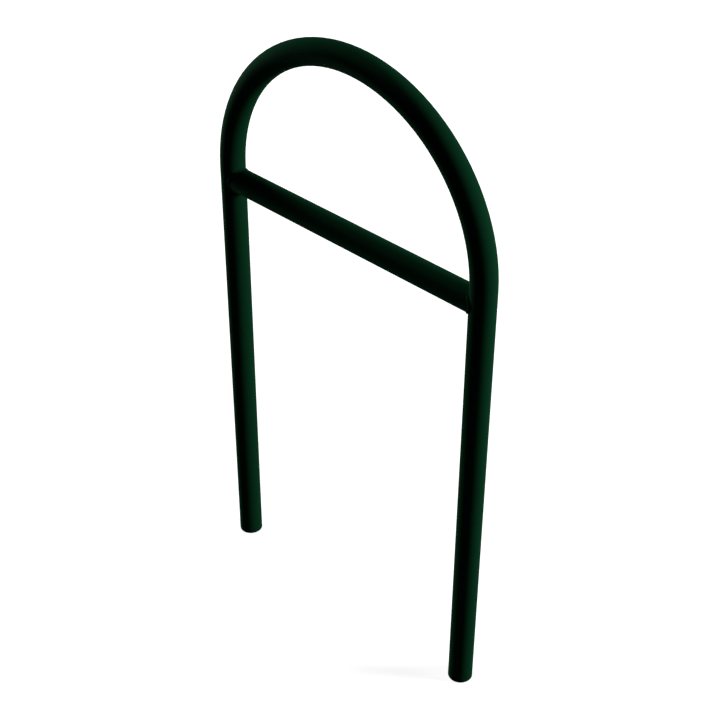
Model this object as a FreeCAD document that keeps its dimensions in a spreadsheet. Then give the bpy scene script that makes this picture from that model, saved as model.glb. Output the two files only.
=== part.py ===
"""Hoop bike rack: one bent steel tube, a coped crossbar and two saddle welds.

Sizes are millimetres. The hoop stands in the XZ plane with +Z up. The legs stand on
the X axis, and the origin lies midway between them, level with their cut ends.
"""
import FreeCAD
import Part
import Sketcher
import math
import os

DOCUMENT = "hoop_bike_rack"
SHEET = "sizes"

# Driving dimensions: alias, value, what it is.
SIZES = (
    ("tube_diameter", 48.3, "outer diameter of the tube that hoop and crossbar are cut from"),
    ("tube_wall", 2.9, "wall of that tube"),
    ("leg_spacing", 620.0, "axis of one leg to axis of the other, twice the bend radius"),
    ("leg_length", 900.0, "straight leg, from its cut end to the start of the bend"),
    ("bar_drop", 24.4, "start of the bend down to the crossbar's axis"),
    ("end_deburr", 0.5, "chamfer that takes the burr off the legs' cut ends"),
    ("vent_diameter", 12.0, "hole from each leg into the crossbar, for the zinc bath"),
    ("root_gap", 0.2, "gap left between the coped end and the leg before welding"),
    ("ear_trim", 11.8, "leg's axis back to where the cope's feather edges are cut off"),
    ("bead_radius", 2.8, "rounding of the weld bead's face"),
    ("bead_rise", 0.5, "the rounding's centre above the leg's surface"),
    ("bead_sink_crotch", 1.0, "the rounding's centre below the bar's surface, over and under it"),
    ("bead_sink_flank", 2.0, "the rounding's centre below the bar's surface, at its flanks"),
)

# Heights and widths that several pieces share, worked out from the driving dimensions.
BAR_HEIGHT = f"({SHEET}.leg_length - {SHEET}.bar_drop)"
BAR_LENGTH = f"({SHEET}.leg_spacing - 2 * {SHEET}.ear_trim)"

SIDES = (("left", -1), ("right", 1))

# The bead's course round the saddle and its rounding are drawn in this many flats.
BEAD_STEPS = 36
BEAD_FLATS = 16

# Each tube takes at least a tenth of the bead's ring away, unless its cut has failed.
CUT_LEAVES_AT_MOST = 0.9

X_AXIS = FreeCAD.Vector(1, 0, 0)
Z_AXIS = FreeCAD.Vector(0, 0, 1)


def make_sheet(document):
    """The spreadsheet that drives the model."""
    sheet = document.addObject("Spreadsheet::Sheet", SHEET)
    for row, (alias, value, note) in enumerate(SIZES, start=1):
        sheet.set(f"A{row}", alias)
        sheet.set(f"B{row}", str(value))
        sheet.set(f"C{row}", note)
        sheet.setAlias(f"B{row}", alias)
    document.recompute()
    return sheet


def length(thing, expression):
    """Millimetres that an expression of the sheet's aliases comes to."""
    value = thing.evalExpression(expression)
    return float(getattr(value, "Value", value))


def add_body(document, name):
    """A named sub-part; its label names its file."""
    body = document.addObject("PartDesign::Body", name)
    body.Label = name
    return body


def add_sketch(body, name, role):
    """A sketch on one of the body's own origin planes."""
    sketch = body.newObject("Sketcher::SketchObject", name)
    plane = next(item for item in body.Origin.OriginFeatures if item.Role == role)
    sketch.AttachmentSupport = [(plane, "")]
    sketch.MapMode = "FlatFace"
    return sketch


def drive(sketch, name, expression, kind, *geometry):
    """Adds a named dimension to a sketch and ties it to the sheet."""
    value = length(sketch, expression)
    index = sketch.addConstraint(Sketcher.Constraint(kind, *geometry, value))
    sketch.renameConstraint(index, name)
    sketch.setExpression(f"Constraints.{name}", expression)


def add_circle(sketch, name, diameter, across=None, up=None):
    """A driven circle, centred on the sketch's origin or off it along one axis or both."""
    centre_x = length(sketch, across) if across else 0
    centre_y = length(sketch, up) if up else 0
    centre = FreeCAD.Vector(centre_x, centre_y, 0)
    circle = Part.Circle(centre, Z_AXIS, length(sketch, diameter) / 2)
    index = sketch.addGeometry(circle)
    if across:
        place(sketch, f"{name}_across", across, "DistanceX", index)
    else:
        sketch.addConstraint(Sketcher.Constraint("PointOnObject", index, 3, -2))
    if up:
        place(sketch, f"{name}_up", up, "DistanceY", index)
    else:
        sketch.addConstraint(Sketcher.Constraint("PointOnObject", index, 3, -1))
    drive(sketch, f"{name}_diameter", diameter, "Diameter", index)


def place(sketch, name, expression, kind, index):
    """Sets a circle's centre at a driven distance from the sketch's origin."""
    drive(sketch, name, expression, kind, -1, 1, index, 3)


def draw_hoop_path(sketch):
    """The tube's axis: up one leg, over the half circle and down the other leg."""
    half = length(sketch, f"{SHEET}.leg_spacing / 2")
    rise = length(sketch, f"{SHEET}.leg_length")
    left_foot = FreeCAD.Vector(-half, 0, 0)
    left_bend = FreeCAD.Vector(-half, rise, 0)
    right_bend = FreeCAD.Vector(half, rise, 0)
    right_foot = FreeCAD.Vector(half, 0, 0)
    bend = Part.Circle(FreeCAD.Vector(0, rise, 0), Z_AXIS, half)
    left = sketch.addGeometry(Part.LineSegment(left_foot, left_bend))
    arch = sketch.addGeometry(Part.ArcOfCircle(bend, 0, math.pi))
    right = sketch.addGeometry(Part.LineSegment(right_bend, right_foot))
    for rule in (
        ("Tangent", left, 2, arch, 2),
        ("Tangent", right, 1, arch, 1),
        ("Vertical", left),
        ("Vertical", right),
        ("Symmetric", left, 1, right, 2, -2),
        ("PointOnObject", left, 1, -1),
    ):
        sketch.addConstraint(Sketcher.Constraint(*rule))
    drive(sketch, "leg_spacing", f"{SHEET}.leg_spacing", "DistanceX", left, 1, right, 2)
    drive(sketch, "leg_length", f"{SHEET}.leg_length", "DistanceY", left, 1, left, 2)


def end_edges(shape):
    """Names of the round edges at the legs' cut ends."""
    return [
        f"Edge{number}"
        for number, edge in enumerate(shape.Edges, start=1)
        if abs(edge.BoundBox.ZMin) < 1e-6 and edge.BoundBox.ZLength < 1e-6
    ]


def make_hoop(document):
    """One tube bent into a half circle on two parallel legs."""
    body = add_body(document, "hoop")
    path = add_sketch(body, "hoop_path", "XZ_Plane")
    draw_hoop_path(path)
    section = add_sketch(body, "hoop_section", "XY_Plane")
    leg_axis = f"-{SHEET}.leg_spacing / 2"
    add_circle(section, "outside", f"{SHEET}.tube_diameter", across=leg_axis)
    add_circle(section, "bore", f"{SHEET}.tube_diameter - 2 * {SHEET}.tube_wall", across=leg_axis)
    document.recompute()

    tube = body.newObject("PartDesign::AdditivePipe", "bent_tube")
    tube.Profile = section
    tube.Spine = (path, ["Edge1", "Edge2", "Edge3"])
    document.recompute()

    # The pocket runs from leg axis to leg axis, so it opens only the two facing walls.
    vents = add_sketch(body, "vent_holes", "YZ_Plane")
    add_circle(vents, "vent", f"{SHEET}.vent_diameter", up=BAR_HEIGHT)
    pocket = body.newObject("PartDesign::Pocket", "vents")
    pocket.Profile = vents
    pocket.SideType = "Symmetric"
    pocket.Type = "Length"
    pocket.setExpression("Length", f"{SHEET}.leg_spacing")
    document.recompute()

    deburr = body.newObject("PartDesign::Chamfer", "deburred_ends")
    deburr.Base = (pocket, end_edges(pocket.Shape))
    deburr.setExpression("Size", f"{SHEET}.end_deburr")
    body.Tip = deburr
    document.recompute()
    return body


def make_crossbar(document):
    """A straight length of the same tube with a fish-mouth cut at each end."""
    body = add_body(document, "crossbar")
    body.setExpression("Placement.Base.z", BAR_HEIGHT)
    section = add_sketch(body, "crossbar_section", "YZ_Plane")
    add_circle(section, "outside", f"{SHEET}.tube_diameter")
    add_circle(section, "bore", f"{SHEET}.tube_diameter - 2 * {SHEET}.tube_wall")
    tube = body.newObject("PartDesign::Pad", "cut_tube")
    tube.Profile = section
    tube.SideType = "Symmetric"
    tube.setExpression("Length", BAR_LENGTH)
    document.recompute()

    mouths = add_sketch(body, "cope_circles", "XY_Plane")
    cope = f"{SHEET}.tube_diameter + 2 * {SHEET}.root_gap"
    add_circle(mouths, "left", cope, across=f"-{SHEET}.leg_spacing / 2")
    add_circle(mouths, "right", cope, across=f"{SHEET}.leg_spacing / 2")
    copes = body.newObject("PartDesign::Pocket", "coped_ends")
    copes.Profile = mouths
    copes.SideType = "Symmetric"
    copes.Type = "ThroughAll"
    body.Tip = copes
    document.recompute()
    return body


def make_bar_outside(document):
    """The crossbar without its bore, to shape the welds against."""
    bar = document.addObject("Part::Cylinder", "crossbar_outside")
    bar.setExpression("Radius", f"{SHEET}.tube_diameter / 2")
    bar.setExpression("Height", BAR_LENGTH)
    bar.Placement.Rotation = FreeCAD.Rotation(Z_AXIS, X_AXIS)
    bar.setExpression("Placement.Base.x", f"-{BAR_LENGTH} / 2")
    bar.setExpression("Placement.Base.z", BAR_HEIGHT)
    return bar


def make_leg_outside(document, name, side):
    """The stretch of a leg that a weld lies on, without its bore.

    It is straight, as the cope is. It is turned so that its seam is off the weld.
    """
    leg = document.addObject("Part::Cylinder", f"leg_outside_{name}")
    leg.setExpression("Radius", f"{SHEET}.tube_diameter / 2")
    leg.setExpression("Height", f"2 * {SHEET}.tube_diameter")
    leg.Placement.Rotation = FreeCAD.Rotation(Z_AXIS, 90)
    leg.setExpression("Placement.Base.x", f"{side} * {SHEET}.leg_spacing / 2")
    leg.setExpression("Placement.Base.z", f"{BAR_HEIGHT} - {SHEET}.tube_diameter")
    return leg


def bead_centre(sheet, side, angle):
    """Centre of the bead's rounding at an angle round the crossbar.

    It follows the saddle where the two tubes meet. Tubes of one diameter meet at a
    sharp corner on each flank, and there the centre lies further from the leg's axis,
    so that the bead runs over the trimmed ears in a smooth curve.
    """
    radius = length(sheet, f"{SHEET}.tube_diameter / 2")
    across = (radius - length(sheet, f"{SHEET}.bead_sink_flank")) * math.sin(angle)
    up = (radius - length(sheet, f"{SHEET}.bead_sink_crotch")) * math.cos(angle)
    back = math.sqrt((radius + length(sheet, f"{SHEET}.bead_rise")) ** 2 - across**2)
    joint = joint_centre(sheet, side)
    return joint + FreeCAD.Vector(-side * back, across, up)


def joint_centre(sheet, side):
    """Where the crossbar's axis meets a leg's."""
    leg_axis = length(sheet, f"{SHEET}.leg_spacing / 2")
    return FreeCAD.Vector(side * leg_axis, 0, length(sheet, BAR_HEIGHT))


def bead_outline(sheet, side, angle):
    """The bead's rounding as a closed polygon, square to the bead's course."""
    step = math.pi / 1000
    centre = bead_centre(sheet, side, angle)
    ahead = bead_centre(sheet, side, angle + step)
    behind = bead_centre(sheet, side, angle - step)
    course = (ahead - behind).normalize()
    inwards = joint_centre(sheet, side) - centre
    inwards = (inwards - course * inwards.dot(course)).normalize()
    spoke = inwards * length(sheet, f"{SHEET}.bead_radius")
    turn = 360 / BEAD_FLATS
    corners = [
        centre + FreeCAD.Rotation(course, turn * (index + 0.5)).multVec(spoke)
        for index in range(BEAD_FLATS)
    ]
    return Part.makePolygon(corners + corners[:1])


def make_weld(document, sheet, name, side, bar_outside):
    """One bead all round the saddle between crossbar and leg.

    Its outlines stand half a step off the bar's crown, where a tube's seam can lie,
    because a cut along a seam fails.
    """
    turn = 2 * math.pi / BEAD_STEPS
    outlines = [
        bead_outline(sheet, side, turn * (index + 0.5))
        for index in range(BEAD_STEPS)
    ]
    ring = document.addObject("Part::Feature", f"bead_ring_{name}")
    solid, ruled, closed = True, True, True
    ring.Shape = Part.makeLoft(outlines, solid, ruled, closed)
    leg_outside = make_leg_outside(document, name, side)
    on_leg = add_cut(document, f"bead_on_leg_{name}", ring, leg_outside)
    return add_cut(document, f"weld_{name}", on_leg, bar_outside)


def add_cut(document, name, base, tool):
    """One solid less another, and proof that the cut took something away."""
    cut = document.addObject("Part::Cut", name)
    cut.Label = name
    cut.Base = base
    cut.Tool = tool
    document.recompute()
    if cut.Shape.Volume > CUT_LEAVES_AT_MOST * base.Shape.Volume:
        raise RuntimeError(f"{tool.Name} did not cut {name}")
    return cut


def check(document, parts):
    """Stops the build on a failed object or on a sub-part that is not one valid solid."""
    for item in document.Objects:
        if {"Invalid", "Error"} & set(item.State):
            raise RuntimeError(f"{item.Name} did not recompute: {item.State}")
    for part in parts:
        shape = part.Shape
        if shape.isNull() or not shape.isValid() or len(shape.Solids) != 1:
            raise RuntimeError(f"{part.Label} is not one valid solid")


def export(parts):
    """Writes each sub-part to its own file and prints its size."""
    os.makedirs("parts", exist_ok=True)
    for part in parts:
        part.Shape.exportStep(f"parts/{part.Label}.step")
        box = part.Shape.optimalBoundingBox()
        extent = f"{box.XLength:.1f} x {box.YLength:.1f} x {box.ZLength:.1f} mm"
        print(f"{part.Label}: {extent}, {part.Shape.Volume / 1000:.1f} cm3")


def main():
    document = FreeCAD.newDocument(DOCUMENT)
    sheet = make_sheet(document)
    hoop = make_hoop(document)
    crossbar = make_crossbar(document)
    bar_outside = make_bar_outside(document)
    parts = [hoop, crossbar]
    for name, side in SIDES:
        parts.append(make_weld(document, sheet, name, side, bar_outside))
    check(document, parts)
    export(parts)


main()
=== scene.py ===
"""Looks of the hoop bike rack: dark green powder coat over bent tube and weld beads."""
import math

import bmesh
import bpy
from mathutils import Matrix, Quaternion, Vector, noise


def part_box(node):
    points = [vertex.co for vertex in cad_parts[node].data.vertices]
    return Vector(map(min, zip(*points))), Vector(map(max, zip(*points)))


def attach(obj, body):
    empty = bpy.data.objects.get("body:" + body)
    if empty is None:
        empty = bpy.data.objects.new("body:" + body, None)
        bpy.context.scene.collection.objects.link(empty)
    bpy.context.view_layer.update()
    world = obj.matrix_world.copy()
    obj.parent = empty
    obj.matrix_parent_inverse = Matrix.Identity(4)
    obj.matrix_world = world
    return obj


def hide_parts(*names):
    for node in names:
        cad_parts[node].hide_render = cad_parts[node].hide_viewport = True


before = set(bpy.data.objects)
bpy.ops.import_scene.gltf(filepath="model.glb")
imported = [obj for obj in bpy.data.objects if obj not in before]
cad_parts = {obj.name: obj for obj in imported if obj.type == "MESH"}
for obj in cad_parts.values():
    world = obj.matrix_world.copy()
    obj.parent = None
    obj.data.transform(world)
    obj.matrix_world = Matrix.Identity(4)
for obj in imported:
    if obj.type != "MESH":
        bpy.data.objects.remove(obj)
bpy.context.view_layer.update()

BODY = "root"
WHITE = (1.0, 1.0, 1.0, 1.0)

# Camera, fitted to the outline of the tubes in the photograph.
CAMERA_AT = Vector((1.5996, -1.5973, 2.2113))
CAMERA_YAW = math.radians(-44.559)
CAMERA_PITCH = math.radians(-35.339)
CAMERA_ROLL = math.radians(-0.282)
CAMERA_LENS = 74.13
SENSOR_WIDTH = 36.0

# Tube sizes. All but the wall are read from the hoop and crossbar in model.glb.
HOOP_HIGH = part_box("hoop")[1]
BAR_LOW, BAR_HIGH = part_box("crossbar")
TUBE_RADIUS = (BAR_HIGH.z - BAR_LOW.z) / 2
TUBE_WALL = 0.0029
BORE_RADIUS = TUBE_RADIUS - TUBE_WALL
BAR_HEIGHT = (BAR_HIGH.z + BAR_LOW.z) / 2
LEG_AXIS = HOOP_HIGH.x - TUBE_RADIUS

# Weld bead. Its centre runs as in the part's source. Its rounding is a little smaller
# than there, but swells over the corners of the crossbar's cope.
BEAD_RADIUS = 0.00262
BEAD_SWELL = 0.0012
BEAD_RISE = 0.0005
BEAD_SINK_CROTCH = 0.0010
BEAD_SINK_FLANK = 0.0020
BEAD_STATIONS = 720
BEAD_CORNERS = 28
COURSE_STEP = math.pi / 1000
DEPTH_UNDER_SKIN = 0.0005
PULL_STEP = DEPTH_UNDER_SKIN / 5

# Ripples of the bead: how many, how deep, how far they bow and how far they wander.
RIPPLES = 84
RIPPLE_DEPTH = 0.00022
RIPPLE_BOW = 0.55 * math.pi
RIPPLE_WANDER = 1.6
WANDER_SCALE = 90.0

# Powder coat. Colours are linear, and this is the one of the photograph's lit side.
COAT_COLOUR = (0.0034, 0.0340, 0.0140)
COAT_VARIATION = 0.10
COAT_ROUGHNESS = (0.70, 0.80)
COAT_GLOSS = 0.003
DRIFT = {"Scale": 9.0, "Detail": 3.0, "Roughness": 0.55}
PEEL = {"Scale": 420.0, "Detail": 2.0, "Roughness": 0.5}
PEEL_RANGE = (0.3, 0.7)
PEEL_BUMP = {"Strength": 0.25, "Distance": 0.0002}

# Bare zinc in the bores of the straight legs: its tints, and where it begins and ends.
ZINC_COLOUR = (0.42, 0.43, 0.44)
ZINC_LIGHT = 1.15
ZINC_DARK = 0.75
SPANGLE_SCALE = 160.0
BORE_EDGE = (BORE_RADIUS + 0.0003, BORE_RADIUS + 0.0008)
POWDER_REACH = (0.02, 0.05)
POWDER_WANDER = 0.05
STRAIGHT_TOP = (0.75, 0.80)

# Floor, nearly black to the light that would bounce from it onto the object.
FLOOR_COLOUR = (0.80, 0.80, 0.80, 1.0)
FLOOR_BOUNCE = (0.03, 0.03, 0.03, 1.0)
FLOOR_GLOW = (0.78, 1.0)
FLOOR_FADE = (1.2, 3.5)
FLOOR_WIDTH = 60.0

# Soft lamps: name, direction from the object, width and power.
WORLD_STRENGTH = 0.01
LAMP_AIM = Vector((0, 0, 0.65))
LAMP_REACH = 4.0
LAMPS = (
    ("key", (0.754, 0.611, 0.242), 1.4, 166.0),
    ("rim", (-0.987, -0.104, -0.122), 0.3, 88.0),
    ("top", (-0.692, 0.147, 0.707), 0.9, 62.0),
)


def make_camera():
    """The photograph's camera, from its place, its direction and its lens."""
    forward = Vector((
        math.sin(CAMERA_YAW) * math.cos(CAMERA_PITCH),
        math.cos(CAMERA_YAW) * math.cos(CAMERA_PITCH),
        math.sin(CAMERA_PITCH),
    ))
    right = forward.cross(Vector((0, 0, 1))).normalized()
    down = forward.cross(right)
    turned_right = math.cos(CAMERA_ROLL) * right + math.sin(CAMERA_ROLL) * down
    turned_down = math.cos(CAMERA_ROLL) * down - math.sin(CAMERA_ROLL) * right
    turn = Matrix((turned_right, -turned_down, -forward)).transposed()
    data = bpy.data.cameras.new("camera")
    data.sensor_width = SENSOR_WIDTH
    data.lens = CAMERA_LENS
    camera = bpy.data.objects.new("camera", data)
    camera.matrix_world = Matrix.Translation(CAMERA_AT) @ turn.to_4x4()
    bpy.context.scene.collection.objects.link(camera)
    bpy.context.scene.camera = camera
    bpy.context.scene.view_settings.view_transform = "Standard"


def add_node(tree, kind, **values):
    """A shader node with its properties and its unlinked sockets set."""
    node = tree.nodes.new(kind)
    for name, value in values.items():
        if name in node.inputs:
            node.inputs[name].default_value = value
        else:
            setattr(node, name, value)
    return node


def scaled(colour, factor):
    """A colour made lighter or darker, with full opacity added."""
    return tuple(factor * value for value in colour) + (1.0,)


def between(tree, value, span, levels):
    """A smooth change from one level to another, as a value crosses a span."""
    ramp = add_node(tree, "ShaderNodeMapRange", interpolation_type="SMOOTHSTEP")
    ramp.inputs["From Min"].default_value = span[0]
    ramp.inputs["From Max"].default_value = span[1]
    ramp.inputs["To Min"].default_value = levels[0]
    ramp.inputs["To Max"].default_value = levels[1]
    tree.links.new(value, ramp.inputs["Value"])
    return ramp.outputs["Result"]


def calculate(tree, operation, first, second=None):
    """One sum in a material; its second operand is a socket, a number or none."""
    node = add_node(tree, "ShaderNodeMath", operation=operation)
    tree.links.new(first, node.inputs[0])
    if isinstance(second, float):
        node.inputs[1].default_value = second
    elif second is not None:
        tree.links.new(second, node.inputs[1])
    return node.outputs["Value"]


def mix_colours(tree, share, first, second):
    """The first colour, and the second one by its share; each a socket or a value."""
    mix = add_node(tree, "ShaderNodeMix", data_type="RGBA")
    tree.links.new(share, mix.inputs["Factor"])
    for socket, colour in ((mix.inputs["A"], first), (mix.inputs["B"], second)):
        if isinstance(colour, tuple):
            socket.default_value = colour
        else:
            tree.links.new(colour, socket)
    return mix.outputs["Result"]


def mix_shaders(tree, share, first, second):
    """The first shader, and the second one by its share."""
    mix = add_node(tree, "ShaderNodeMixShader")
    tree.links.new(share, mix.inputs["Fac"])
    tree.links.new(first, mix.inputs[1])
    tree.links.new(second, mix.inputs[2])
    return mix.outputs["Shader"]


def bare_zinc(tree, place, drift):
    """How much zinc shows: all of it up inside the legs' bores, where no powder settles."""
    parts = add_node(tree, "ShaderNodeSeparateXYZ")
    tree.links.new(place, parts.inputs["Vector"])
    from_middle = calculate(tree, "ABSOLUTE", parts.outputs["X"])
    from_axis = calculate(tree, "SUBTRACT", from_middle, LEG_AXIS)
    square = calculate(tree, "POWER", from_axis, 2.0)
    square_across = calculate(tree, "POWER", parts.outputs["Y"], 2.0)
    radius = calculate(tree, "SQRT", calculate(tree, "ADD", square, square_across))
    inside = between(tree, radius, BORE_EDGE, (1.0, 0.0))
    wander = calculate(tree, "MULTIPLY", drift, POWDER_WANDER)
    height = calculate(tree, "ADD", parts.outputs["Z"], wander)
    deep = between(tree, height, POWDER_REACH, (0.0, 1.0))
    straight = between(tree, height, STRAIGHT_TOP, (1.0, 0.0))
    return calculate(tree, "MULTIPLY", calculate(tree, "MULTIPLY", inside, deep), straight)


def coat_material(name):
    """Matt powder coat: an even dark green with a fine orange-peel surface."""
    material = bpy.data.materials.new(name)
    material.use_nodes = True
    tree = material.node_tree
    shader = tree.nodes["Principled BSDF"]
    place = add_node(tree, "ShaderNodeTexCoord").outputs["Object"]
    drift = add_node(tree, "ShaderNodeTexNoise", **DRIFT)
    peel = add_node(tree, "ShaderNodeTexNoise", **PEEL)
    spangle = add_node(tree, "ShaderNodeTexVoronoi", Scale=SPANGLE_SCALE)
    for texture in (drift, peel, spangle):
        tree.links.new(place, texture.inputs["Vector"])
    zinc = bare_zinc(tree, place, drift.outputs["Fac"])

    green = mix_colours(
        tree, drift.outputs["Fac"],
        scaled(COAT_COLOUR, 1 - COAT_VARIATION), scaled(COAT_COLOUR, 1 + COAT_VARIATION),
    )
    grey = mix_colours(
        tree, spangle.outputs["Distance"],
        scaled(ZINC_COLOUR, ZINC_LIGHT), scaled(ZINC_COLOUR, ZINC_DARK),
    )
    roughness = between(tree, peel.outputs["Fac"], PEEL_RANGE, COAT_ROUGHNESS)
    bump = add_node(tree, "ShaderNodeBump", **PEEL_BUMP)
    tree.links.new(peel.outputs["Fac"], bump.inputs["Height"])
    tree.links.new(mix_colours(tree, zinc, green, grey), shader.inputs["Base Color"])
    tree.links.new(zinc, shader.inputs["Metallic"])
    tree.links.new(roughness, shader.inputs["Roughness"])
    tree.links.new(bump.outputs["Normal"], shader.inputs["Normal"])
    shader.inputs["Specular IOR Level"].default_value = COAT_GLOSS
    return material


def dress(thing, material):
    """Gives a piece its material."""
    thing.data.materials.clear()
    thing.data.materials.append(material)


def bead_centre(side, angle):
    """Centre of the bead's rounding at an angle round the crossbar, from its top."""
    across = (TUBE_RADIUS - BEAD_SINK_FLANK) * math.sin(angle)
    up = (TUBE_RADIUS - BEAD_SINK_CROTCH) * math.cos(angle)
    back = math.sqrt((TUBE_RADIUS + BEAD_RISE) ** 2 - across**2)
    return Vector((side * (LEG_AXIS - back), across, BAR_HEIGHT + up))


def bead_reach(centre, angle, turn):
    """The bead's rounding in one direction, with its swell and its ripples."""
    wander = RIPPLE_WANDER * noise.noise(centre * WANDER_SCALE)
    phase = RIPPLES * angle + RIPPLE_BOW * math.cos(turn)
    dip = RIPPLE_DEPTH * (0.5 + 0.5 * math.cos(phase + wander)) ** 2
    swell = BEAD_SWELL * (math.sin(2 * angle) * math.sin(angle)) ** 2
    return BEAD_RADIUS + swell - dip


def depth_under_skin(point, side):
    """How far a point lies inside the leg or the crossbar, or below zero outside both."""
    from_leg = math.hypot(point.x - side * LEG_AXIS, point.y)
    from_bar = math.hypot(point.y, point.z - BAR_HEIGHT)
    return TUBE_RADIUS - min(from_leg, from_bar)


def bead_ring(side, angle):
    """The bead's outline square to its course, and just under the skin inside the tubes."""
    centre = bead_centre(side, angle)
    ahead = bead_centre(side, angle + COURSE_STEP)
    behind = bead_centre(side, angle - COURSE_STEP)
    course = (ahead - behind).normalized()
    inwards = Vector((side * LEG_AXIS, 0, BAR_HEIGHT)) - centre
    spoke = -(inwards - course * inwards.dot(course)).normalized()
    points = []
    for corner in range(BEAD_CORNERS):
        turn = 2 * math.pi * corner / BEAD_CORNERS
        arm = Quaternion(course, turn) @ spoke
        reach = bead_reach(centre, angle, turn)
        while depth_under_skin(centre + arm * reach, side) > DEPTH_UNDER_SKIN and reach > 0:
            reach -= PULL_STEP
        points.append(centre + arm * max(reach, 0.0))
    return points


def make_bead(name, side, material):
    """The weld bead with the ripples that the torch leaves."""
    shape = bmesh.new()
    rings = []
    for station in range(BEAD_STATIONS):
        angle = 2 * math.pi * station / BEAD_STATIONS
        rings.append([shape.verts.new(point) for point in bead_ring(side, angle)])
    for here, ahead in zip(rings, rings[1:] + rings[:1]):
        for corner in range(BEAD_CORNERS):
            beside = (corner + 1) % BEAD_CORNERS
            shape.faces.new((here[corner], here[beside], ahead[beside], ahead[corner]))
    bmesh.ops.recalc_face_normals(shape, faces=shape.faces)
    mesh = bpy.data.meshes.new(name)
    shape.to_mesh(mesh)
    shape.free()
    mesh.shade_smooth()
    bead = bpy.data.objects.new(name, mesh)
    bpy.context.scene.collection.objects.link(bead)
    dress(bead, material)
    return bead


def white_share(tree):
    """1 for rays that see the backdrop: the camera's, a reflection's and glass's."""
    paths = add_node(tree, "ShaderNodeLightPath")
    mirrored = add_node(tree, "ShaderNodeMath", operation="ADD", use_clamp=True)
    share = add_node(tree, "ShaderNodeMath", operation="ADD", use_clamp=True)
    tree.links.new(paths.outputs["Is Camera Ray"], mirrored.inputs[0])
    tree.links.new(paths.outputs["Is Glossy Ray"], mirrored.inputs[1])
    tree.links.new(mirrored.outputs["Value"], share.inputs[0])
    tree.links.new(paths.outputs["Is Transmission Ray"], share.inputs[1])
    return share.outputs["Value"]


def floor_glow(tree):
    """Light of the floor's own, rising to white away from the object."""
    place = add_node(tree, "ShaderNodeTexCoord")
    distance = add_node(tree, "ShaderNodeVectorMath", operation="LENGTH")
    glow = add_node(tree, "ShaderNodeEmission", Color=WHITE)
    tree.links.new(place.outputs["Object"], distance.inputs[0])
    strength = between(tree, distance.outputs["Value"], FLOOR_FADE, FLOOR_GLOW)
    tree.links.new(strength, glow.inputs["Strength"])
    return glow.outputs["Emission"]


def floor_material():
    """Pale and matt, with the object's shadow on it, and clear when seen from below."""
    material = bpy.data.materials.new("floor")
    material.use_nodes = True
    tree = material.node_tree
    tree.nodes.remove(tree.nodes["Principled BSDF"])
    matt = add_node(tree, "ShaderNodeBsdfDiffuse", Color=FLOOR_COLOUR)
    dull = add_node(tree, "ShaderNodeBsdfDiffuse", Color=FLOOR_BOUNCE)
    lit = add_node(tree, "ShaderNodeAddShader")
    tree.links.new(matt.outputs["BSDF"], lit.inputs[0])
    tree.links.new(floor_glow(tree), lit.inputs[1])
    above = mix_shaders(tree, white_share(tree), dull.outputs["BSDF"], lit.outputs["Shader"])
    facing = add_node(tree, "ShaderNodeNewGeometry")
    clear = add_node(tree, "ShaderNodeBsdfTransparent")
    both = mix_shaders(tree, facing.outputs["Backfacing"], above, clear.outputs["BSDF"])
    tree.links.new(both, tree.nodes["Material Output"].inputs["Surface"])
    return material


def make_floor():
    """A plain pale floor, which isn't part of the object."""
    mesh = bpy.data.meshes.new("floor")
    half = FLOOR_WIDTH / 2
    corners = [(-half, -half, 0), (half, -half, 0), (half, half, 0), (-half, half, 0)]
    mesh.from_pydata(corners, [], [(0, 1, 2, 3)])
    floor = bpy.data.objects.new("floor", mesh)
    bpy.context.scene.collection.objects.link(floor)
    dress(floor, floor_material())


def add_lamp(name, towards, size, power):
    """A round soft lamp, LAMP_REACH from the object in the given direction."""
    data = bpy.data.lights.new(name, "AREA")
    data.shape = "DISK"
    data.size = size
    data.energy = power
    lamp = bpy.data.objects.new(name, data)
    lamp.location = LAMP_AIM + LAMP_REACH * Vector(towards).normalized()
    lamp.rotation_euler = Vector(towards).to_track_quat("Z", "Y").to_euler()
    lamp.visible_camera = False
    bpy.context.scene.collection.objects.link(lamp)


def make_light():
    """The lamps, and a world that shows white but lights the object very little."""
    world = bpy.data.worlds.new("studio")
    bpy.context.scene.world = world
    world.use_nodes = True
    tree = world.node_tree
    back = tree.nodes["Background"]
    back.inputs["Color"].default_value = WHITE
    back.inputs["Strength"].default_value = WORLD_STRENGTH
    white = add_node(tree, "ShaderNodeBackground", Color=WHITE, Strength=1.0)
    both = mix_shaders(
        tree, white_share(tree), back.outputs["Background"], white.outputs["Background"]
    )
    tree.links.new(both, tree.nodes["World Output"].inputs["Surface"])
    for lamp in LAMPS:
        add_lamp(*lamp)


make_camera()
make_floor()
make_light()
coat = coat_material("powder_coat")
weld_coat = coat_material("powder_coat_weld")
for node in ("hoop", "crossbar"):
    dress(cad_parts[node], coat)
for name, side in (("left", -1), ("right", 1)):
    bead = make_bead(f"bead_{name}", side, weld_coat)
    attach(bead, BODY)
    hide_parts(f"weld_{name}")
